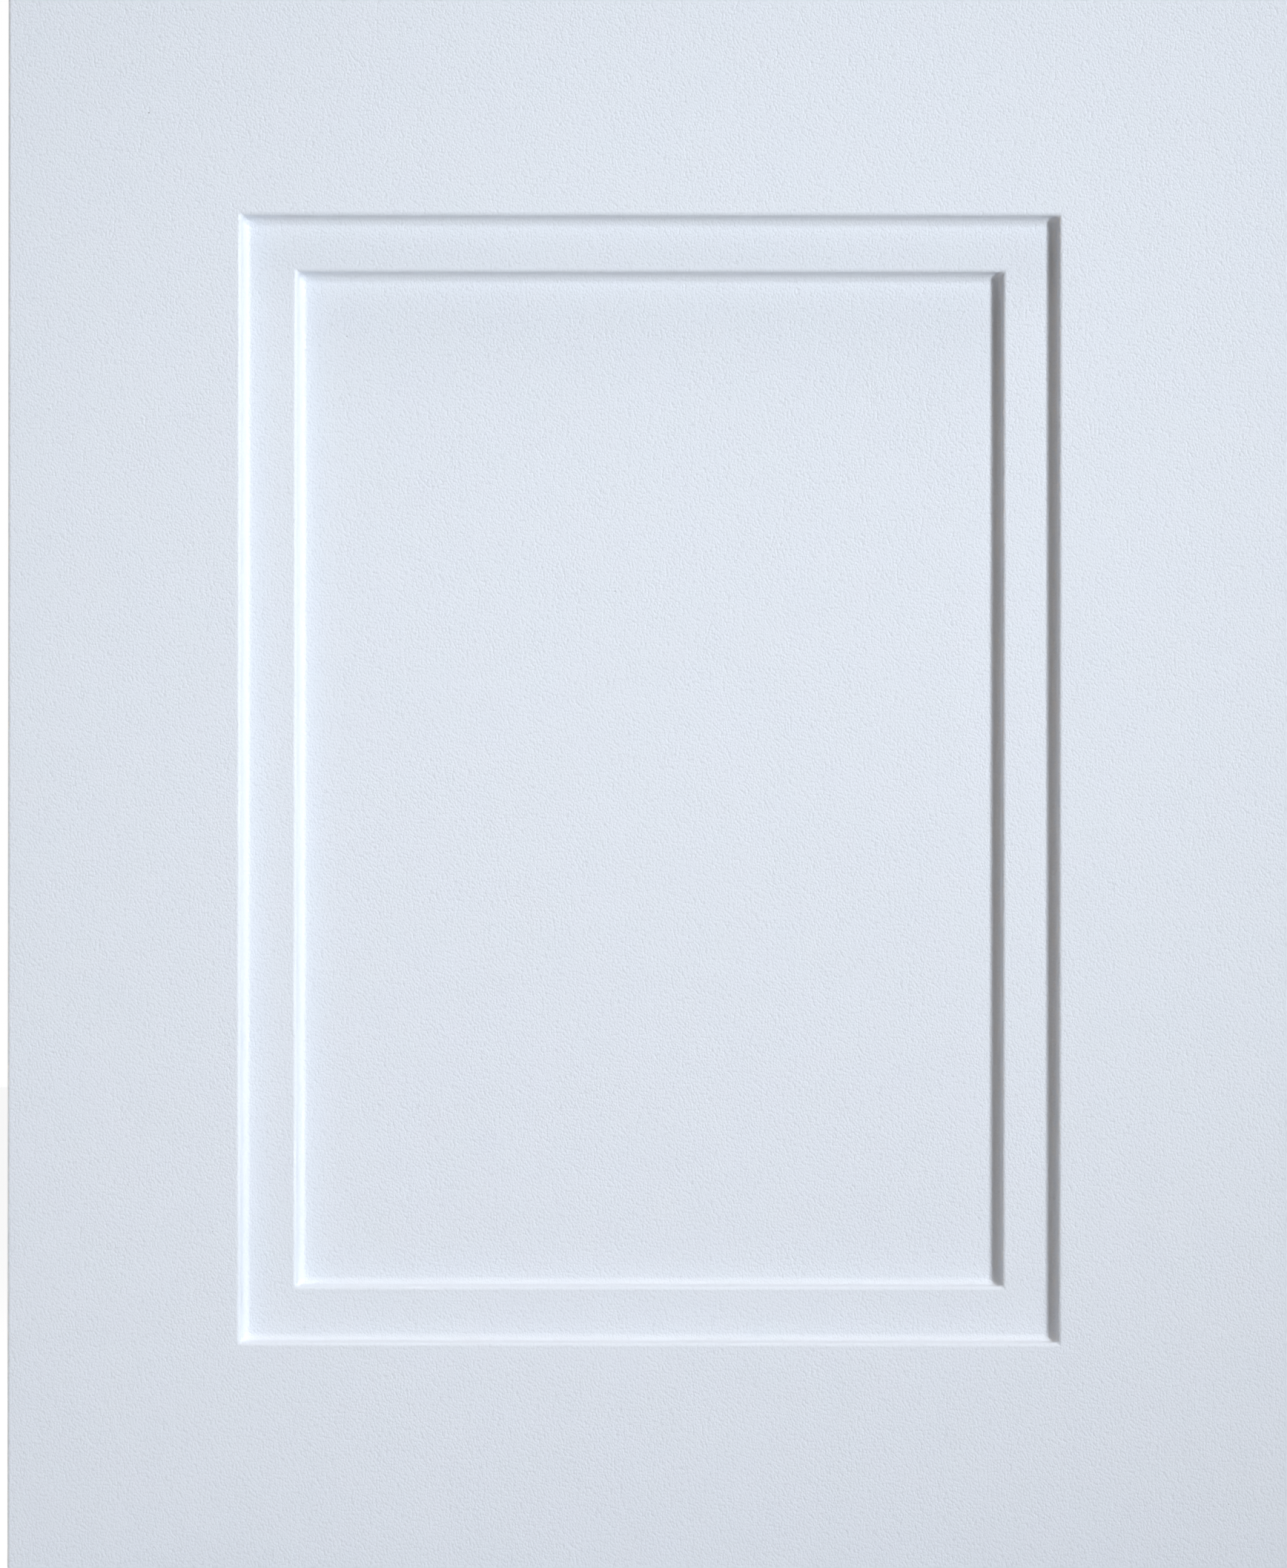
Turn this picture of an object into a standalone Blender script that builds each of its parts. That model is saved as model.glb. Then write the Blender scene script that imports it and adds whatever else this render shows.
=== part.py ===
"""Kitchen cabinet door: one board with a panel let in by two routed steps.

The door stands upright, +Z up, and its front faces -Y. The origin is the middle
of the flat back, so the back lies on Y = 0 and the front face on Y = -THICKNESS.
The hinge side is at -X. Lengths are in metres.
"""

import math

import bmesh
import bpy
from mathutils import Matrix, Vector

MM = 0.001

# The board
WIDTH = 368.3 * MM
HEIGHT = 457.2 * MM
THICKNESS = 19.0 * MM
CORNER_RADIUS = 3.0 * MM  # the four corners, seen from the front
RIM_RADIUS = 0.8 * MM  # the round-over where the front meets the edges

# The routed steps, from the frame down to the panel
FRAME_WIDTH = 65.8 * MM  # from the edge of the door to the first step
STEP_PITCH = 15.9 * MM  # from the brink of one step to the brink of the next
STEP_COUNT = 2
STEP_DEPTH = 4.75 * MM
LIP_RADIUS = 1.25 * MM  # the rounded brink of a step
COVE_RADIUS = 2.3 * MM  # the hollow foot of a step
WALL_ANGLE = math.radians(85)  # the short straight wall between them, from the face
BIT_TIP_RADIUS = 2.1 * MM  # what the bit leaves in a corner at the foot of a step
BRINK_CORNER_RADIUS = 0.3 * MM  # the corner at the brink, where the bit lifts out

# The hinge bores in the back
CUP_DIAMETER = 35.0 * MM
CUP_DEPTH = 13.0 * MM
CUP_EDGE_DISTANCE = 22.5 * MM  # from the hinge edge of the door to the cup's centre
CUP_END_DISTANCE = 100.0 * MM  # from the top or the bottom to the cup's centre
SCREW_SPACING = 45.0 * MM
SCREW_OFFSET = 9.5 * MM  # from the cup's centre, away from the hinge edge
PILOT_DIAMETER = 3.0 * MM
PILOT_DEPTH = 10.0 * MM

# How finely the round forms are divided
CORNER_SEGMENTS = 8
RIM_SEGMENTS = 4
LIP_SEGMENTS = 5
COVE_SEGMENTS = 8
CUP_SEGMENTS = 64
PILOT_SEGMENTS = 20

CUTTER_REACH = 2.0 * MM  # how far a cutter stands out of the surface that it cuts
MERGE_DISTANCE = 0.001 * MM  # rings this close are one, as where a step has no straight wall
SMOOTH_ANGLE = math.radians(30)


def clear_scene():
    """Removes every object, so that the file holds the door alone."""
    for item in list(bpy.data.objects):
        bpy.data.objects.remove(item, do_unlink=True)


def new_collection(name):
    collection = bpy.data.collections.new(name)
    bpy.context.scene.collection.children.link(collection)
    return collection


def add_object(name, mesh_data, collection):
    """Turns a bmesh into an object with its faces pointing out."""
    bmesh.ops.recalc_face_normals(mesh_data, faces=mesh_data.faces)
    mesh = bpy.data.meshes.new(name)
    mesh_data.to_mesh(mesh)
    mesh_data.free()
    item = bpy.data.objects.new(name, mesh)
    collection.objects.link(item)
    return item


def foil_material():
    """The smooth white foil that wraps the front and the edges."""
    material = bpy.data.materials.new("white_foil")
    material.use_nodes = True
    shader = material.node_tree.nodes["Principled BSDF"]
    shader.inputs["Base Color"].default_value = (0.73, 0.78, 0.84, 1.0)
    shader.inputs["Roughness"].default_value = 0.5
    shader.inputs["Metallic"].default_value = 0.0
    return material


def round_over(mesh_data, edges, radius, segments):
    bmesh.ops.bevel(mesh_data, geom=edges, offset=radius, segments=segments, profile=0.5, affect="EDGES")


def make_board(collection):
    """The whole board: a box with rounded corners and a rounded front rim."""
    board = bmesh.new()
    size = Matrix.Diagonal((WIDTH, THICKNESS, HEIGHT, 1.0))
    place = Matrix.Translation((0.0, -THICKNESS / 2, 0.0))
    bmesh.ops.create_cube(board, size=1.0, matrix=place @ size)

    front = {vert for vert in board.verts if vert.co.y < -THICKNESS / 2}
    corners = [edge for edge in board.edges if len(front.intersection(edge.verts)) == 1]
    round_over(board, corners, CORNER_RADIUS, CORNER_SEGMENTS)
    front = {vert for vert in board.verts if vert.co.y < -THICKNESS / 2}
    rim = [edge for edge in board.edges if front.issuperset(edge.verts)]
    round_over(board, rim, RIM_RADIUS, RIM_SEGMENTS)
    return add_object("door", board, collection)


def step_profile():
    """The section of one step, as (run inward, depth) points from its brink to its foot.

    A rounded lip and a hollow cove share the wall's angle where they meet it, and the
    straight wall takes up the depth that the two arcs leave. On a step too shallow for
    both arcs they shrink together.
    """
    drop_share = 1 - math.cos(WALL_ANGLE)
    fit = min(1.0, STEP_DEPTH / ((LIP_RADIUS + COVE_RADIUS) * drop_share))
    lip = LIP_RADIUS * fit
    cove = COVE_RADIUS * fit
    wall_length = (STEP_DEPTH - (lip + cove) * drop_share) / math.sin(WALL_ANGLE)
    foot_run = (lip + cove) * math.sin(WALL_ANGLE) + wall_length * math.cos(WALL_ANGLE)
    points = []
    for index in range(LIP_SEGMENTS + 1):
        angle = WALL_ANGLE * index / LIP_SEGMENTS
        points.append((lip * math.sin(angle), lip * (1 - math.cos(angle))))
    for index in range(COVE_SEGMENTS + 1):
        angle = WALL_ANGLE * (1 - index / COVE_SEGMENTS)
        points.append((foot_run - cove * math.sin(angle), STEP_DEPTH - cove * (1 - math.cos(angle))))
    return points


def rounded_rectangle(half_width, half_height, radius, depth):
    """One ring of points at a depth below the front face, with the same count at any radius."""
    points = []
    for corner, (side_x, side_z) in enumerate(((1, 1), (-1, 1), (-1, -1), (1, -1))):
        centre_x = side_x * (half_width - radius)
        centre_z = side_z * (half_height - radius)
        for index in range(CORNER_SEGMENTS + 1):
            angle = math.radians(90) * (corner + index / CORNER_SEGMENTS)
            x = centre_x + radius * math.cos(angle)
            z = centre_z + radius * math.sin(angle)
            points.append(Vector((x, -THICKNESS + depth, z)))
    return points


def make_step_cutter(number, collection):
    """What the bit removes for one step: rings lofted from above the surface to the floor.

    The corners are crisp at the brink, where the bit lifts out of them, and widen to
    the radius of its tip at the foot.
    """
    inset = FRAME_WIDTH + number * STEP_PITCH
    top = number * STEP_DEPTH
    half_width = WIDTH / 2 - inset
    half_height = HEIGHT / 2 - inset
    profile = step_profile()
    total_run = profile[-1][0]
    cutter = bmesh.new()
    rings = [rounded_rectangle(half_width, half_height, BRINK_CORNER_RADIUS, top - CUTTER_REACH)]
    for run, depth in profile:
        radius = BRINK_CORNER_RADIUS + (BIT_TIP_RADIUS - BRINK_CORNER_RADIUS) * run / total_run
        rings.append(rounded_rectangle(half_width - run, half_height - run, radius, top + depth))
    loops = [[cutter.verts.new(point) for point in ring] for ring in rings]
    for upper, lower in zip(loops, loops[1:]):
        for index in range(len(upper)):
            after = (index + 1) % len(upper)
            cutter.faces.new((upper[index], upper[after], lower[after], lower[index]))
    cutter.faces.new(loops[0])
    cutter.faces.new(loops[-1])
    bmesh.ops.remove_doubles(cutter, verts=cutter.verts, dist=MERGE_DISTANCE)
    return add_object(f"step_cutter_{number + 1}", cutter, collection)


def add_bore(cutter, centre_x, centre_z, diameter, depth, segments):
    """Adds a cylinder that bores to a depth from the back."""
    length = depth + CUTTER_REACH
    place = Matrix.Translation((centre_x, (CUTTER_REACH - depth) / 2, centre_z))
    turn = Matrix.Rotation(math.radians(90), 4, "X")
    bmesh.ops.create_cone(
        cutter,
        cap_ends=True,
        segments=segments,
        radius1=diameter / 2,
        radius2=diameter / 2,
        depth=length,
        matrix=place @ turn,
    )


def make_hinge_cutter(name, centre_z, collection):
    """The cup bore of one hinge and the pilot holes of its two screws."""
    centre_x = CUP_EDGE_DISTANCE - WIDTH / 2
    cutter = bmesh.new()
    add_bore(cutter, centre_x, centre_z, CUP_DIAMETER, CUP_DEPTH, CUP_SEGMENTS)
    for side in (-1, 1):
        screw_z = centre_z + side * SCREW_SPACING / 2
        add_bore(cutter, centre_x + SCREW_OFFSET, screw_z, PILOT_DIAMETER, PILOT_DEPTH, PILOT_SEGMENTS)
    return add_object(name, cutter, collection)


def cut(item, cutter):
    """Takes a cutter's volume out of an object."""
    cutter.hide_render = True
    cutter.display_type = "WIRE"
    boolean = item.modifiers.new(cutter.name, "BOOLEAN")
    boolean.operation = "DIFFERENCE"
    boolean.solver = "EXACT"
    boolean.object = cutter


def main():
    clear_scene()
    parts = new_collection("kitchen_cabinet_door")
    cutters = new_collection("cutters")

    door = make_board(parts)
    for number in range(STEP_COUNT):
        cut(door, make_step_cutter(number, cutters))
    hinge_z = HEIGHT / 2 - CUP_END_DISTANCE
    cut(door, make_hinge_cutter("upper_hinge_cutter", hinge_z, cutters))
    cut(door, make_hinge_cutter("lower_hinge_cutter", -hinge_z, cutters))

    door.data.materials.append(foil_material())
    door.data.shade_smooth()
    door.data.set_sharp_from_angle(angle=SMOOTH_ANGLE)


main()
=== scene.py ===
# Kitchen cabinet door, dressed for a plain studio render.
import math

import bmesh
import bpy
import numpy as np
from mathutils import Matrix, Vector
from mathutils.geometry import delaunay_2d_cdt


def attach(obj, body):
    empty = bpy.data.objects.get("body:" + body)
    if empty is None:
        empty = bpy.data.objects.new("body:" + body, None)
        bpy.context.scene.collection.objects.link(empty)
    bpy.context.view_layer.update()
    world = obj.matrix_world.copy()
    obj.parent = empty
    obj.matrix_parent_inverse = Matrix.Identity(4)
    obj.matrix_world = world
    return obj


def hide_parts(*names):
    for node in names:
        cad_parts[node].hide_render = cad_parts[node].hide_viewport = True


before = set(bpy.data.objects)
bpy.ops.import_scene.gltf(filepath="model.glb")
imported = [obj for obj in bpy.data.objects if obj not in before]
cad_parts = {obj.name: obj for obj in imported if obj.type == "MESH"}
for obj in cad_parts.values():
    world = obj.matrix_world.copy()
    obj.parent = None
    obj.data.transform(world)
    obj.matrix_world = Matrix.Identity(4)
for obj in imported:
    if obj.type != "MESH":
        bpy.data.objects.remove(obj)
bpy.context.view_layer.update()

mm = 0.001
scene = bpy.context.scene
print("frame loaded:", sorted(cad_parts))


# The quads of a grid that closes on itself in its second direction: each joins point (i, j) to
# (i, j + 1), (i + 1, j + 1) and (i + 1, j), with j taken round the ring.
def ringFaces(ringCount, pointCount, firstPoint):
    row = firstPoint + np.arange(ringCount - 1)[:, None] * pointCount
    here = np.arange(pointCount)
    after = (here + 1) % pointCount
    nextRow = row + pointCount
    return np.stack([row + here, row + after, nextRow + after, nextRow + here], -1).reshape(-1, 4)


doorSpec = {
    "width": 368.3 * mm,
    "height": 457.2 * mm,
    "thickness": 19.0 * mm,
    "cornerRadius": 3.0 * mm,
    "rimRadius": 0.8 * mm,
    "backArris": 0.3 * mm,  # the foil's trimmed edge round the back
    "frameWidth": 65.8 * mm,
    "stepPitch": 15.9 * mm,
    "stepCount": 2,
    "stepDepth": 4.75 * mm,
    "lipRadius": 1.25 * mm,
    "coveRadius": 2.3 * mm,
    "wallAngle": 85.0,
    "bitTipRadius": 2.1 * mm,
    "brinkCornerRadius": 0.3 * mm,
    "guard": 0.12 * mm,  # how close a flat's own points stand to the round beside it
    "cornerSteps": 16,
    "arrisSteps": 4,
    "rimSteps": 10,
    "lipSteps": 10,
    "coveSteps": 18,
    "mergeDistance": 0.002 * mm,
    "smoothAngle": 28.0,  # edges that turn further than this stay sharp
}

boreSpec = {
    "cupRadius": 17.5 * mm,
    "cupDepth": 13.0 * mm,
    "cupEdgeDistance": 22.5 * mm,
    "cupEndDistance": 100.0 * mm,
    "mouthArris": 0.15 * mm,
    "dimpleRadius": 1.6 * mm,  # left by the bit's centre point
    "dimpleDepth": 1.1 * mm,
    "floorRing": 0.6,  # a ring of points on a cup's floor, as a share of its radius
    "pilotRadius": 1.5 * mm,
    "pilotDepth": 10.0 * mm,
    "pilotConeDepth": 0.7 * mm,
    "screwSpacing": 45.0 * mm,
    "screwOffset": 9.5 * mm,
    "cupSteps": 96,
    "pilotSteps": 28,
}


# Rounded rectangles, one for each inset and corner radius. A corner is a quarter circle about a centre
# one radius in from both sides: centre + radius * (cos, sin). A side runs straight from one corner to
# the next, with points at quarters of its length and a guard's width from both of its ends.
def roundedRings(inset, radius, spec):
    inset, radius = inset[:, None, None], radius[:, None, None]
    quarter = np.arange(4)[None, :, None]
    turn = quarter * np.pi / 2 + np.linspace(0, np.pi / 2, spec["cornerSteps"] + 1)[None, None, :]
    sideX = np.array([1, -1, -1, 1])[None, :, None]
    sideZ = np.array([1, 1, -1, -1])[None, :, None]
    arcX = sideX * (spec["width"] / 2 - inset - radius) + radius * np.cos(turn)
    arcZ = sideZ * (spec["height"] / 2 - inset - radius) + radius * np.sin(turn)
    startX, startZ = arcX[:, :, -1:], arcZ[:, :, -1:]
    spanX = np.roll(arcX, -1, axis=1)[:, :, :1] - startX
    spanZ = np.roll(arcZ, -1, axis=1)[:, :, :1] - startZ
    near = 2 * spec["guard"] / np.hypot(spanX, spanZ)
    share = np.concatenate([near, 0 * near + 0.25, 0 * near + 0.5, 0 * near + 0.75, 1 - near], axis=2)
    x = np.concatenate([arcX, startX + spanX * share], axis=2)
    z = np.concatenate([arcZ, startZ + spanZ * share], axis=2)
    return x.reshape(len(inset), -1), z.reshape(len(inset), -1)


# The section of one step, as run inward and drop below its brink. The lip is an arc from level to the
# wall's angle, run r sin(a) and drop r (1 - cos(a)). The cove is the same arc upside down, ending level
# at the foot. The straight wall between them takes the depth that they leave.
def stepSection(spec):
    wall = math.radians(spec["wallAngle"])
    lip, cove, depth = spec["lipRadius"], spec["coveRadius"], spec["stepDepth"]
    wallLength = (depth - (lip + cove) * (1 - math.cos(wall))) / math.sin(wall)
    footRun = (lip + cove) * math.sin(wall) + wallLength * math.cos(wall)
    down = np.linspace(0, wall, spec["lipSteps"] + 1)
    up = np.linspace(wall, 0, spec["coveSteps"] + 1)
    run = np.concatenate([lip * np.sin(down), footRun - cove * np.sin(up)])
    drop = np.concatenate([lip * (1 - np.cos(down)), depth - cove * (1 - np.cos(up))])
    return run, drop


# The door's whole section from the back's outline, over the edge and the front rim, down each step to
# the panel: inset from the outline, depth below the front face and corner radius, point for point.
# Corners follow the section: an outside corner's radius shrinks as the inset grows, and a step's grows
# from its brink's to the bit tip's as it runs in.
def doorSection(spec):
    arris, rim, guard, thick = spec["backArris"], spec["rimRadius"], spec["guard"], spec["thickness"]
    bend = np.linspace(0, np.pi / 2, spec["arrisSteps"] + 1)
    over = np.linspace(0, np.pi / 2, spec["rimSteps"] + 1)
    inset = [arris * (1 - np.sin(bend)), [0, 0], rim * (1 - np.cos(over)), [rim + guard]]
    depth = [
        thick - arris * (1 - np.cos(bend)),
        [thick - arris - guard, rim + guard],
        rim * (1 - np.sin(over)),
        [0],
    ]
    radius = [spec["cornerRadius"] - part for part in map(np.asarray, inset)]
    run, drop = stepSection(spec)
    for number in range(spec["stepCount"]):
        brink = spec["frameWidth"] + number * spec["stepPitch"]
        level = number * spec["stepDepth"]
        small, wide = spec["brinkCornerRadius"], spec["bitTipRadius"]
        inset += [[brink - guard], brink + run, [brink + run[-1] + guard]]
        depth += [[level], level + drop, [level + spec["stepDepth"]]]
        radius += [[small + guard], small + (wide - small) * run / run[-1], [wide - guard]]
    return np.concatenate(inset), np.concatenate(depth), np.concatenate(radius)


# One bore from the back: circles about its centre, one for each radius and depth of its section. The
# last radius is nothing, which closes the floor in a point.
def boreRings(centreX, centreZ, radii, depths, steps):
    turn = np.linspace(0, 2 * np.pi, steps, endpoint=False)
    radii, depths = np.asarray(radii)[:, None], np.asarray(depths)[:, None]
    x = centreX + radii * np.cos(turn)
    z = centreZ + radii * np.sin(turn)
    return np.stack([x, -depths + 0 * x, z], -1)


# A cup: a broken edge at its mouth, a straight wall, a level floor and the cone of the bit's point.
def cupBore(centreX, centreZ, spec):
    radius, depth, arris = spec["cupRadius"], spec["cupDepth"], spec["mouthArris"]
    dimple, ring = spec["dimpleRadius"], spec["floorRing"] * radius
    radii = [radius + arris, radius, radius, radius, radius - arris, ring, dimple + arris, dimple, 0]
    depths = [0, arris, arris * 2, depth - arris, depth, depth, depth, depth, depth + spec["dimpleDepth"]]
    return boreRings(centreX, centreZ, radii, depths, spec["cupSteps"])


# A pilot hole: a broken edge, a straight wall and a cone at its foot.
def pilotBore(centreX, centreZ, spec):
    radius, depth, arris = spec["pilotRadius"], spec["pilotDepth"], spec["mouthArris"]
    cone = spec["pilotConeDepth"]
    radii = [radius + arris, radius, radius, radius, 0]
    depths = [0, arris, arris * 2, depth - cone, depth]
    return boreRings(centreX, centreZ, radii, depths, spec["pilotSteps"])


# The flat back: the triangles between its outline and the mouths of the bores. Those whose middle lies
# inside a mouth are left out.
def backSheet(outline, mouths):
    loops = [outline] + mouths
    starts = np.cumsum([0] + [len(loop) for loop in loops])
    edges = []
    for start, loop in zip(starts, loops):
        here = np.arange(len(loop))
        edges.append(start + np.stack([here, (here + 1) % len(loop)], -1))
    flat = [Vector(point) for point in np.concatenate(loops)[:, [0, 2]].tolist()]
    insideOnly, nearest = 1, 1e-7  # triangles within the outline, and the distance at which points are one
    corners, _, triangles, *_ = delaunay_2d_cdt(flat, np.concatenate(edges).tolist(), [], insideOnly, nearest)
    corners, triangles = np.array(corners), np.array(triangles)
    middle = corners[triangles].mean(axis=1)
    holed = np.zeros(len(triangles), bool)
    for mouth in mouths:
        centre = mouth[:, [0, 2]].mean(axis=0)
        reach = np.hypot(*(mouth[0, [0, 2]] - centre))
        holed |= np.hypot(*(middle - centre).T) < reach
    points = np.stack([corners[:, 0], 0 * corners[:, 0], corners[:, 1]], -1)
    return points, triangles[~holed]


# The board in one closed mesh: the section carried round the outline, the level panel inside the last
# ring, the flat back and its bores. The materials come in the order of foil, back and bare board.
def buildDoor(spec, bores, materials):
    foil, back, bare = 0, 1, 2
    inset, depth, radius = doorSection(spec)
    x, z = roundedRings(inset, radius, spec)
    body = np.stack([x, -spec["thickness"] + depth[:, None] + 0 * x, z], -1)
    points, faces = [body.reshape(-1, 3)], ringFaces(*x.shape, 0).tolist()
    faces.append(list(range(x.size - x.shape[1], x.size)))
    slots = [foil] * len(faces)
    total = x.size

    cupX = bores["cupEdgeDistance"] - spec["width"] / 2
    cupZ = spec["height"] / 2 - bores["cupEndDistance"]
    holes = []
    for centreZ in (cupZ, -cupZ):
        holes.append(cupBore(cupX, centreZ, bores))
        for side in (-1, 1):
            screwZ = centreZ + side * bores["screwSpacing"] / 2
            holes.append(pilotBore(cupX + bores["screwOffset"], screwZ, bores))
    for hole in holes:
        rings, around = hole.shape[:2]
        points.append(hole.reshape(-1, 3))
        faces += ringFaces(rings, around, total).tolist()
        slots += [bare] * ((rings - 1) * around)
        total += rings * around
    sheetPoints, triangles = backSheet(body[0], [hole[0] for hole in holes])
    points.append(sheetPoints)
    faces += (total + triangles).tolist()
    slots += [back] * len(triangles)

    mesh = bpy.data.meshes.new("doorBoard")
    mesh.from_pydata(np.concatenate(points).tolist(), [], faces)
    mesh.polygons.foreach_set("material_index", slots)
    shape = bmesh.new()
    shape.from_mesh(mesh)
    bmesh.ops.remove_doubles(shape, verts=shape.verts, dist=spec["mergeDistance"])
    bmesh.ops.recalc_face_normals(shape, faces=shape.faces)
    shape.to_mesh(mesh)
    shape.free()
    for material in materials:
        mesh.materials.append(material)
    mesh.shade_smooth()
    mesh.set_sharp_from_angle(angle=math.radians(spec["smoothAngle"]))
    door = bpy.data.objects.new("doorBoard", mesh)
    scene.collection.objects.link(door)
    return door


def addNode(tree, kind, x, y, values=None, **settings):
    item = tree.nodes.new(kind)
    item.location = (x, y)
    for name, value in settings.items():
        setattr(item, name, value)
    for socket, value in (values or {}).items():
        item.inputs[socket].default_value = value
    return item


def newGroup(name, inputs, outputs):
    group = bpy.data.node_groups.new(name, "ShaderNodeTree")
    for label, kind, value in inputs:
        socket = group.interface.new_socket(name=label, in_out="INPUT", socket_type=kind)
        if value is not None:
            socket.default_value = value
    for label, kind in outputs:
        group.interface.new_socket(name=label, in_out="OUTPUT", socket_type=kind)
    return group, addNode(group, "NodeGroupInput", -900, 0), addNode(group, "NodeGroupOutput", 700, 0)


def newMaterial(name):
    material = bpy.data.materials.new(name)
    material.use_nodes = True
    tree = material.node_tree
    shader = tree.nodes["Principled BSDF"]
    place = addNode(tree, "ShaderNodeTexCoord", -1300, 0)
    return material, tree, shader, place.outputs["Object"]


# Pebbled grain: scattered points, each under a round dome whose height is 1 less the square of the
# distance to the point in cells, so valleys run where two domes meet, plus a share of soft noise twice
# as fine about its own middle. Squeeze below 1 makes the pebbles taller than they are wide.
def makePebbleGrain():
    group, entry, leave = newGroup(
        "pebbleGrain",
        [
            ("Vector", "NodeSocketVector", None),
            ("Grains per Metre", "NodeSocketFloat", 1400.0),
            ("Fine Share", "NodeSocketFloat", 0.3),
            ("Squeeze", "NodeSocketFloat", 1.0),
        ],
        [("Height", "NodeSocketFloat")],
    )
    link = group.links.new
    stretch = addNode(group, "ShaderNodeCombineXYZ", -1100, 250, {"X": 1.0, "Y": 1.0})
    place = addNode(group, "ShaderNodeVectorMath", -900, 200, operation="MULTIPLY")
    domes = addNode(group, "ShaderNodeTexVoronoi", -500, 200, feature="F1")
    square = addNode(group, "ShaderNodeMath", -250, 200, operation="MULTIPLY")
    finer = addNode(group, "ShaderNodeMath", -700, -150, {1: 2.0}, operation="MULTIPLY")
    fine = addNode(group, "ShaderNodeTexNoise", -500, -150, {"Detail": 0.0})
    centred = addNode(group, "ShaderNodeMath", -250, -150, {1: 0.5}, operation="SUBTRACT")
    rough = addNode(group, "ShaderNodeMath", 0, -50, {2: 1.0}, operation="MULTIPLY_ADD")
    total = addNode(group, "ShaderNodeMath", 200, 100, operation="SUBTRACT")
    link(entry.outputs["Squeeze"], stretch.inputs["Z"])
    link(entry.outputs["Vector"], place.inputs[0])
    link(stretch.outputs[0], place.inputs[1])
    link(place.outputs[0], domes.inputs["Vector"])
    link(place.outputs[0], fine.inputs["Vector"])
    link(entry.outputs["Grains per Metre"], domes.inputs["Scale"])
    link(entry.outputs["Grains per Metre"], finer.inputs[0])
    link(finer.outputs[0], fine.inputs["Scale"])
    link(domes.outputs["Distance"], square.inputs[0])
    link(domes.outputs["Distance"], square.inputs[1])
    link(fine.outputs["Fac"], centred.inputs[0])
    link(centred.outputs[0], rough.inputs[0])
    link(entry.outputs["Fine Share"], rough.inputs[1])
    link(rough.outputs[0], total.inputs[0])
    link(square.outputs[0], total.inputs[1])
    link(total.outputs[0], leave.inputs["Height"])
    return group


# Faint patches: colour * (1 + tint * (coloured noise - 1/2)) * (1 + tone * (grey noise - 1/2)), with
# the grey patches half as many to the metre as the coloured ones.
def makeFaintPatches():
    group, entry, leave = newGroup(
        "faintPatches",
        [
            ("Vector", "NodeSocketVector", None),
            ("Colour", "NodeSocketColor", (0.8, 0.8, 0.8, 1.0)),
            ("Patches per Metre", "NodeSocketFloat", 90.0),
            ("Tint", "NodeSocketFloat", 0.02),
            ("Tone", "NodeSocketFloat", 0.02),
        ],
        [("Colour", "NodeSocketColor")],
    )
    link = group.links.new
    half = addNode(group, "ShaderNodeMath", -700, -250, {1: 0.5}, operation="MULTIPLY")
    hues = addNode(group, "ShaderNodeTexNoise", -500, 150, {"Detail": 2.0, "Roughness": 0.6})
    greys = addNode(group, "ShaderNodeTexNoise", -500, -250, {"Detail": 2.0, "Roughness": 0.6})
    hueShift = addNode(group, "ShaderNodeVectorMath", -250, 150, {1: (0.5, 0.5, 0.5)}, operation="SUBTRACT")
    hueScale = addNode(group, "ShaderNodeVectorMath", -50, 150, operation="SCALE")
    hueGain = addNode(group, "ShaderNodeVectorMath", 130, 150, {1: (1.0, 1.0, 1.0)}, operation="ADD")
    greyShift = addNode(group, "ShaderNodeMath", -250, -250, {1: 0.5}, operation="SUBTRACT")
    greyGain = addNode(group, "ShaderNodeMath", -50, -250, {2: 1.0}, operation="MULTIPLY_ADD")
    tinted = addNode(group, "ShaderNodeVectorMath", 310, 100, operation="MULTIPLY")
    toned = addNode(group, "ShaderNodeVectorMath", 490, 50, operation="SCALE")
    link(entry.outputs["Vector"], hues.inputs["Vector"])
    link(entry.outputs["Vector"], greys.inputs["Vector"])
    link(entry.outputs["Patches per Metre"], hues.inputs["Scale"])
    link(entry.outputs["Patches per Metre"], half.inputs[0])
    link(half.outputs[0], greys.inputs["Scale"])
    link(hues.outputs["Color"], hueShift.inputs[0])
    link(hueShift.outputs[0], hueScale.inputs[0])
    link(entry.outputs["Tint"], hueScale.inputs["Scale"])
    link(hueScale.outputs[0], hueGain.inputs[0])
    link(greys.outputs["Fac"], greyShift.inputs[0])
    link(greyShift.outputs[0], greyGain.inputs[0])
    link(entry.outputs["Tone"], greyGain.inputs[1])
    link(entry.outputs["Colour"], tinted.inputs[0])
    link(hueGain.outputs[0], tinted.inputs[1])
    link(tinted.outputs[0], toned.inputs[0])
    link(greyGain.outputs[0], toned.inputs["Scale"])
    link(toned.outputs[0], leave.inputs["Colour"])
    return group


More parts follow.
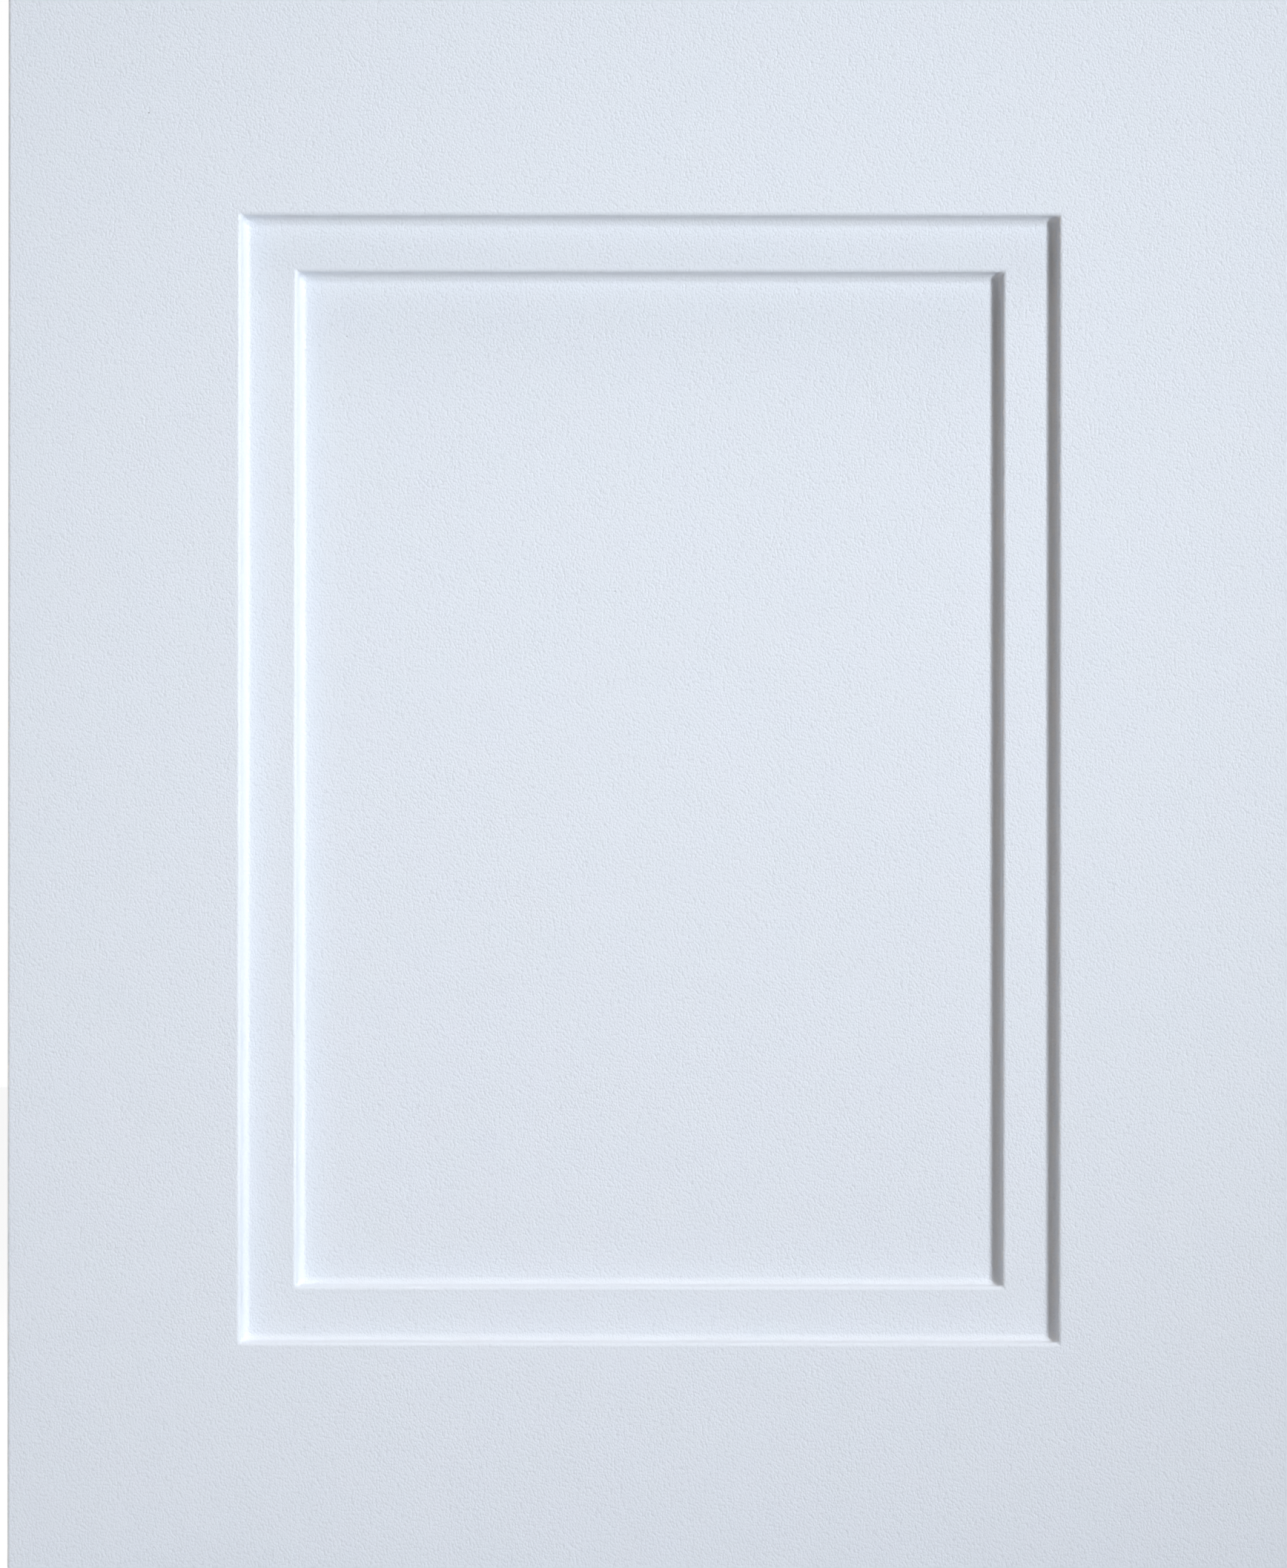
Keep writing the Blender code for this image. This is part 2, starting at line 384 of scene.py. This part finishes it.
# Rare dark specks: scattered points, each a round spot of the given radius in metres with a soft rim.
# The mask is 1 in a spot and 0 elsewhere.
def makeDarkSpecks():
    group, entry, leave = newGroup(
        "darkSpecks",
        [
            ("Vector", "NodeSocketVector", None),
            ("Specks per Metre", "NodeSocketFloat", 50.0),
            ("Radius", "NodeSocketFloat", 0.00025),
        ],
        [("Mask", "NodeSocketFloat")],
    )
    link = group.links.new
    points = addNode(group, "ShaderNodeTexVoronoi", -500, 100, feature="F1")
    reach = addNode(group, "ShaderNodeMath", -500, -200, operation="MULTIPLY")
    share = addNode(group, "ShaderNodeMath", -250, 0, operation="DIVIDE")
    rim = addNode(
        group, "ShaderNodeMapRange", 0, 0, {"From Min": 0.5, "From Max": 1.0, "To Min": 1.0, "To Max": 0.0},
        interpolation_type="SMOOTHSTEP",
    )
    link(entry.outputs["Vector"], points.inputs["Vector"])
    link(entry.outputs["Specks per Metre"], points.inputs["Scale"])
    link(entry.outputs["Specks per Metre"], reach.inputs[0])
    link(entry.outputs["Radius"], reach.inputs[1])
    link(points.outputs["Distance"], share.inputs[0])
    link(reach.outputs[0], share.inputs[1])
    link(share.outputs[0], rim.inputs["Value"])
    link(rim.outputs["Result"], leave.inputs["Mask"])
    return group


def useGroup(tree, group, x, y, vector, values):
    item = addNode(tree, "ShaderNodeGroup", x, y, node_tree=group)
    for socket, value in values.items():
        item.inputs[socket].default_value = value
    tree.links.new(vector, item.inputs["Vector"])
    return item


pebbleGrain = makePebbleGrain()
faintPatches = makeFaintPatches()
darkSpecks = makeDarkSpecks()

foilFinish = {
    "colour": (0.735, 0.775, 0.83, 1.0),
    "grain": {"Grains per Metre": 1900.0, "Fine Share": 0.3, "Squeeze": 0.75},
    "grainHeight": 0.085 * mm,
    "patches": {"Patches per Metre": 90.0, "Tint": 0.02, "Tone": 0.012},
    "specks": {"Specks per Metre": 50.0, "Radius": 0.25 * mm},
    "speckColour": (0.25, 0.26, 0.28, 1.0),
    # Painted shade: the grain's valleys are coloured darker than its crowns, for the light that reaches them
    # less.
    "paintedValleyShade": 0.06,  # how much lighter the crowns are than the valleys
    "grainPolish": (0.06, 0.40),  # how much rougher the crowns are, and the roughness of the valleys
}

backFinish = {
    "colour": (0.76, 0.765, 0.765, 1.0),
    "grain": {"Grains per Metre": 900.0, "Fine Share": 0.3, "Squeeze": 1.0},
    "grainHeight": 0.02 * mm,
    "patches": {"Patches per Metre": 40.0, "Tint": 0.01, "Tone": 0.012},
    "specks": {"Specks per Metre": 40.0, "Radius": 0.25 * mm},
    "speckColour": (0.3, 0.3, 0.3, 1.0),
    # Painted shade: the grain's valleys are coloured darker than its crowns, for the light that reaches them
    # less.
    "paintedValleyShade": 0.05,
    "grainPolish": (0.04, 0.38),
}

bareBoard = {
    "colour": (0.50, 0.355, 0.215, 1.0),
    "roughness": 0.85,
    "fibre": {"Grains per Metre": 2200.0, "Fine Share": 0.8, "Squeeze": 1.0},
    "fibreHeight": 0.04 * mm,
    "patches": {"Patches per Metre": 1500.0, "Tint": 0.12, "Tone": 0.35},
    "ringSpacing": 0.9 * mm,  # between the marks that the turning bit leaves
    "ringHeight": 0.02 * mm,
}


# The foil and the plain back: the coloured patches, darkened in the specks, over a pebbled surface
# that is a little rougher on its crowns than in its valleys, with painted shade that colours its valleys
# darker than its crowns. The bump is filtered over a whole pixel, so that grain as fine as a pixel doesn't
# sparkle.
def makeSheetFinish(name, finish):
    material, tree, shader, vector = newMaterial(name)
    link = tree.links.new
    patchValues = {"Colour": finish["colour"], **finish["patches"]}
    bumpValues = {"Distance": finish["grainHeight"], "Filter Width": 1.0}
    patches = useGroup(tree, faintPatches, -1000, 350, vector, patchValues)
    specks = useGroup(tree, darkSpecks, -1000, 100, vector, finish["specks"])
    grain = useGroup(tree, pebbleGrain, -1000, -200, vector, finish["grain"])
    speckled = addNode(tree, "ShaderNodeMix", -600, 300, {"B": finish["speckColour"]}, data_type="RGBA")
    gain, valley = finish["grainPolish"]
    sheen = addNode(tree, "ShaderNodeMath", -600, 0, {1: gain, 2: valley}, operation="MULTIPLY_ADD")
    # Painted shade: the colour is scaled by 1 - tone / 2 + tone * height, so the grain's valleys are darker
    # than its crowns.
    tone = finish["paintedValleyShade"]
    shade = addNode(tree, "ShaderNodeMath", -600, 150, {1: tone, 2: 1 - tone / 2}, operation="MULTIPLY_ADD")
    shaded = addNode(tree, "ShaderNodeVectorMath", -350, 300, operation="SCALE")
    bump = addNode(tree, "ShaderNodeBump", -600, -250, bumpValues)
    link(specks.outputs["Mask"], speckled.inputs["Factor"])
    link(patches.outputs["Colour"], speckled.inputs["A"])
    link(grain.outputs["Height"], shade.inputs[0])
    link(speckled.outputs["Result"], shaded.inputs[0])
    link(shade.outputs[0], shaded.inputs["Scale"])
    link(shaded.outputs[0], shader.inputs["Base Color"])
    link(grain.outputs["Height"], sheen.inputs[0])
    link(sheen.outputs[0], shader.inputs["Roughness"])
    link(grain.outputs["Height"], bump.inputs["Height"])
    link(bump.outputs["Normal"], shader.inputs["Normal"])
    return material


# Bare fibreboard inside the bores: brown fibre, with the bit's rings round each cup's centre. The two
# cups mirror each other, so the ring pattern reads x and the size of z, and its height is the sine of
# the distance from a centre over the ring spacing.
def makeBareBoard(finish, bores, spec):
    material, tree, shader, vector = newMaterial("bareBoard")
    link = tree.links.new
    patchValues = {"Colour": finish["colour"], **finish["patches"]}
    patches = useGroup(tree, faintPatches, -1000, 350, vector, patchValues)
    fibre = useGroup(tree, pebbleGrain, -1000, 0, vector, finish["fibre"])
    size = addNode(tree, "ShaderNodeVectorMath", -1100, -250, operation="ABSOLUTE")
    flat = addNode(tree, "ShaderNodeVectorMath", -950, -250, {1: (1.0, 0.0, 1.0)}, operation="MULTIPLY")
    cupX = spec["width"] / 2 - bores["cupEdgeDistance"]
    cupZ = spec["height"] / 2 - bores["cupEndDistance"]
    turnsPerMetre = 2 * math.pi / finish["ringSpacing"]
    reach = addNode(tree, "ShaderNodeVectorMath", -800, -250, {1: (cupX, 0.0, cupZ)}, operation="DISTANCE")
    turns = addNode(tree, "ShaderNodeMath", -650, -250, {1: turnsPerMetre}, operation="MULTIPLY")
    rings = addNode(tree, "ShaderNodeMath", -500, -250, operation="SINE")
    ringBump = addNode(tree, "ShaderNodeBump", -350, -250, {"Distance": finish["ringHeight"]})
    fibreBump = addNode(tree, "ShaderNodeBump", -150, -150, {"Distance": finish["fibreHeight"]})
    link(patches.outputs["Colour"], shader.inputs["Base Color"])
    link(vector, size.inputs[0])
    link(size.outputs[0], flat.inputs[0])
    link(flat.outputs[0], reach.inputs[0])
    link(reach.outputs["Value"], turns.inputs[0])
    link(turns.outputs[0], rings.inputs[0])
    link(rings.outputs[0], ringBump.inputs["Height"])
    link(fibre.outputs["Height"], fibreBump.inputs["Height"])
    link(ringBump.outputs["Normal"], fibreBump.inputs["Normal"])
    link(fibreBump.outputs["Normal"], shader.inputs["Normal"])
    shader.inputs["Roughness"].default_value = finish["roughness"]
    return material


finishes = [
    makeSheetFinish("whiteFoil", foilFinish),
    makeSheetFinish("backSheet", backFinish),
    makeBareBoard(bareBoard, boreSpec, doorSpec),
]
door = buildDoor(doorSpec, boreSpec, finishes)
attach(door, "root")
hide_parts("door")
print("door built:", len(door.data.polygons), "faces")


# 1 for rays from the camera, also by way of gloss or glass, and 0 for those that carry light to
# things: the largest of the three ray kinds.
def seenShare(tree, x, y):
    rays = addNode(tree, "ShaderNodeLightPath", x, y)
    gloss = addNode(tree, "ShaderNodeMath", x + 200, y, operation="MAXIMUM")
    glass = addNode(tree, "ShaderNodeMath", x + 400, y, operation="MAXIMUM")
    tree.links.new(rays.outputs["Is Camera Ray"], gloss.inputs[0])
    tree.links.new(rays.outputs["Is Glossy Ray"], gloss.inputs[1])
    tree.links.new(gloss.outputs[0], glass.inputs[0])
    tree.links.new(rays.outputs["Is Transmission Ray"], glass.inputs[1])
    return glass.outputs[0]


# A level square at the door's foot. Its own colour lights the door a little, and a glow that only the
# camera and reflections see makes it as white as the room, with the door's shadow left in it.
floorSpec = {"reach": 4.0, "height": -228.6 * mm, "colour": (0.45, 0.45, 0.45, 1.0), "glow": 0.75}


def buildFloor(spec):
    reach, height = spec["reach"], spec["height"]
    corners = np.array([(-1, -1), (1, -1), (1, 1), (-1, 1)]) * reach
    mesh = bpy.data.meshes.new("floor")
    mesh.from_pydata(np.column_stack([corners, np.full(4, height)]).tolist(), [], [(0, 1, 2, 3)])
    material = bpy.data.materials.new("paleFloor")
    material.use_nodes = True
    tree = material.node_tree
    tree.nodes.clear()
    link = tree.links.new
    matt = addNode(tree, "ShaderNodeBsdfDiffuse", -300, 100, {"Color": spec["colour"]})
    level = addNode(tree, "ShaderNodeMath", -500, -100, {1: spec["glow"]}, operation="MULTIPLY")
    glow = addNode(tree, "ShaderNodeEmission", -300, -100, {"Color": (1.0, 1.0, 1.0, 1.0)})
    both = addNode(tree, "ShaderNodeAddShader", 0, 0)
    out = addNode(tree, "ShaderNodeOutputMaterial", 200, 0)
    link(seenShare(tree, -1100, -100), level.inputs[0])
    link(level.outputs[0], glow.inputs["Strength"])
    link(matt.outputs[0], both.inputs[0])
    link(glow.outputs[0], both.inputs[1])
    link(both.outputs[0], out.inputs["Surface"])
    material.cycles.emission_sampling = "NONE"  # the glow carries no light, so no lamp sample is spent on it
    mesh.materials.append(material)
    floor = bpy.data.objects.new("floor", mesh)
    scene.collection.objects.link(floor)


buildFloor(floorSpec)
print("floor laid")


# Each lamp looks at its aim point on the face from a distance. Round is its angle about that point seen
# from the front, from +X towards +Z, and rise is its angle off the face towards the camera. Angles are
# in degrees, distance and size in metres, power in watts and the aim in millimetres, as x and z. The
# upper and lower key cross over down the door, and the broad key fills between them. The overhead lamp
# grazes the face, the flank warms the walls at the right, and the rim lights the left edge.
lamps = {
    "upperKey": {
        "round": -4.0, "rise": 50.0, "distance": 6.0, "size": 0.7, "spread": 15.0,
        "power": 1.72, "colour": (0.955, 1.0, 1.05), "aim": (-90.0, 310.0),
    },
    "lowerKey": {
        "round": 48.0, "rise": 44.0, "distance": 6.0, "size": 0.7, "spread": 15.0,
        "power": 1.26, "colour": (0.965, 1.0, 1.05), "aim": (-100.0, -380.0),
    },
    "broadKey": {
        "round": 22.0, "rise": 47.0, "distance": 6.0, "size": 0.7, "spread": 20.0,
        "power": 1.02, "colour": (0.965, 1.0, 1.05), "aim": (-110.0, 0.0),
    },
    "overhead": {
        "round": 90.0, "rise": 11.0, "distance": 6.0, "size": 1.4, "spread": 22.0,
        "power": 1.85, "colour": (1.08, 1.0, 0.94), "aim": (-40.0, 0.0),
    },
    "flank": {
        "round": 180.0, "rise": 30.0, "distance": 6.0, "size": 0.8, "spread": 12.0,
        "power": 0.10, "colour": (1.0, 0.5, 0.05), "aim": (0.0, 0.0),
    },
    "rim": {
        "round": 180.0, "rise": -15.0, "distance": 1.5, "size": 0.5, "spread": 180.0,
        "power": 8.0, "colour": (1.05, 1.0, 0.95), "aim": (-184.0, 0.0),
    },
}


# A lamp stands at aim + distance * (cos rise cos round, -sin rise, cos rise sin round).
def addLamp(name, spec):
    data = bpy.data.lights.new(name, "AREA")
    data.shape = "DISK"
    data.size = spec["size"]
    data.spread = math.radians(spec["spread"])
    data.energy = spec["power"]
    data.color = spec["colour"]
    around, rise = math.radians(spec["round"]), math.radians(spec["rise"])
    toLamp = Vector((math.cos(rise) * math.cos(around), -math.sin(rise), math.cos(rise) * math.sin(around)))
    aim = Vector((spec["aim"][0] * mm, -doorSpec["thickness"], spec["aim"][1] * mm))
    lamp = bpy.data.objects.new(name, data)
    lamp.location = aim + toLamp * spec["distance"]
    lamp.rotation_euler = toLamp.to_track_quat("Z", "Y").to_euler()
    lamp.visible_camera = False
    scene.collection.objects.link(lamp)


for lampName, lampSpec in lamps.items():
    addLamp(lampName, lampSpec)

# The room's own light by direction: one level in front of the door, another behind it, with a soft
# change between them just behind the face, and plain white to the camera.
roomLight = {"front": (0.0, 0.0, 0.0, 1.0), "behind": (0.85, 0.85, 0.85, 1.0), "change": (-0.05, 0.15)}


def makeRoom(spec):
    world = bpy.data.worlds.new("studio")
    world.use_nodes = True
    tree = world.node_tree
    tree.nodes.clear()
    link = tree.links.new
    place = addNode(tree, "ShaderNodeTexCoord", -1100, 0)
    parts = addNode(tree, "ShaderNodeSeparateXYZ", -900, 0)
    change = dict(zip(("From Min", "From Max"), spec["change"]))
    side = addNode(tree, "ShaderNodeMapRange", -700, 0, change, interpolation_type="SMOOTHSTEP")
    mix = addNode(tree, "ShaderNodeMix", -450, 0, {"A": spec["front"], "B": spec["behind"]}, data_type="RGBA")
    room = addNode(tree, "ShaderNodeBackground", -200, 0)
    white = addNode(tree, "ShaderNodeBackground", -200, -150, {"Color": (1.0, 1.0, 1.0, 1.0)})
    pick = addNode(tree, "ShaderNodeMixShader", 50, 0)
    out = addNode(tree, "ShaderNodeOutputWorld", 250, 0)
    link(place.outputs["Generated"], parts.inputs[0])
    link(parts.outputs["Y"], side.inputs["Value"])
    link(side.outputs["Result"], mix.inputs["Factor"])
    link(mix.outputs["Result"], room.inputs["Color"])
    link(seenShare(tree, -650, 300), pick.inputs[0])
    link(room.outputs[0], pick.inputs[1])
    link(white.outputs[0], pick.inputs[2])
    link(pick.outputs[0], out.inputs["Surface"])
    world.cycles.sampling_method = "NONE"  # the front gets none of its light, so the samples go to the lamps
    scene.world = world


makeRoom(roomLight)
print("lamps and room placed")


# Square on to the face. The lens is the distance in pixels, at the face's scale, times the sensor's
# side over the picture's long side in pixels.
cameraView = {
    "x": -1.8 * mm,
    "z": -1.38 * mm,
    "distance": 2.5,
    "roll": 0.05,
    "sensor": 36.0,
    "pixelsPerMetre": 4703.0,
    "longSide": 2115,
}


def addCamera(spec):
    data = bpy.data.cameras.new("camera")
    data.sensor_width = spec["sensor"]
    data.lens = spec["sensor"] * spec["distance"] * spec["pixelsPerMetre"] / spec["longSide"]
    camera = bpy.data.objects.new("camera", data)
    camera.location = (spec["x"], -doorSpec["thickness"] - spec["distance"], spec["z"])
    camera.rotation_euler = (math.radians(90), math.radians(-spec["roll"]), 0)
    scene.collection.objects.link(camera)
    scene.camera = camera


addCamera(cameraView)
scene.view_settings.view_transform = "Standard"
print("camera placed")
